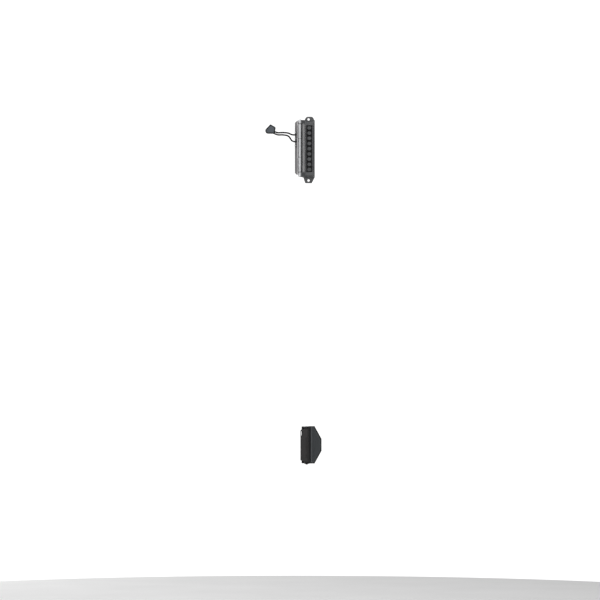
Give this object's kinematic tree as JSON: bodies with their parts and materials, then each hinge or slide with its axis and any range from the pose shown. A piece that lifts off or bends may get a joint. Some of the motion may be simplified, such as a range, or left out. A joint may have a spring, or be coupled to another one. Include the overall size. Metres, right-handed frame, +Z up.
{
  "type": "bicycle wall rack",
  "caption": "Two-part wall rack that hangs a bicycle upright by its front wheel on a swinging hook, with a swinging tyre cradle below.",
  "frame": {"origin": "centre of the upper unit's wall face, midway between its two wall holes", "axes": "+Z up, +Y into the wall, +X to the right of someone facing the wall"},
  "size_m": [0.216, 0.117, 1.337],
  "materials": {
    "black_anodised": "satin",
    "insert_plastic": "matte",
    "cap_paint": "satin",
    "zinc": "satin",
    "bright_steel": "satin",
    "black_oxide": "satin",
    "washer_nylon": "matte",
    "channel_paint": "satin",
    "silver_barrel": "satin",
    "bush_plastic": "matte",
    "hook_paint": "satin",
    "sleeve_rubber": "matte",
    "knob_plastic": "matte",
    "base_plastic": "matte",
    "cradle_plastic": "matte",
    "pad_rubber": "matte"
  },
  "bodies": {
    "wall_side": {"body_extrusion": "black_anodised", "front_insert": "insert_plastic", "top_end_cap": "cap_paint", "bottom_end_cap": "cap_paint", "top_cap_screws": "zinc", "bottom_cap_screws": "zinc", "upper_hinge_pin": "bright_steel", "upper_pin_clip": "black_oxide", "upper_thrust_washers": "washer_nylon", "lower_base_plate": "base_plastic", "lower_bracket": "hook_paint", "lower_hinge_pin": "black_oxide", "lower_pin_clip": "black_oxide", "lower_thrust_washers": "washer_nylon"},
    "hook_carrier": {"tyre_channel": "channel_paint", "upper_knuckle": "silver_barrel", "lower_knuckle": "silver_barrel", "barrel_sleeve": "silver_barrel", "barrel_washers": "washer_nylon", "knuckle_bushes": "bush_plastic", "hook_foot_plate": "channel_paint", "upper_hook_rod": "hook_paint", "lower_hook_rod": "hook_paint", "hook_peg": "hook_paint", "hook_sleeve": "sleeve_rubber", "hook_knob": "knob_plastic", "hook_bolts": "zinc", "hook_nuts": "black_oxide"},
    "tyre_cradle_body": {"tyre_cradle": "cradle_plastic", "cradle_bushes": "bush_plastic", "cradle_pad": "pad_rubber", "cradle_pad_screws": "zinc"}
  },
  "joints": [
    {"name": "hook_swing", "type": "hinge", "parent": "wall_side", "child": "hook_carrier", "pos_m": [-0.035, -0.062, 0], "axis": [0, 0, 1], "range_deg": [0, 90]},
    {"name": "cradle_swing", "type": "hinge", "parent": "wall_side", "child": "tyre_cradle_body", "pos_m": [-0.0075, -0.062, -1.135], "axis": [0, 0, 1], "range_deg": [0, 90]}
  ]
}
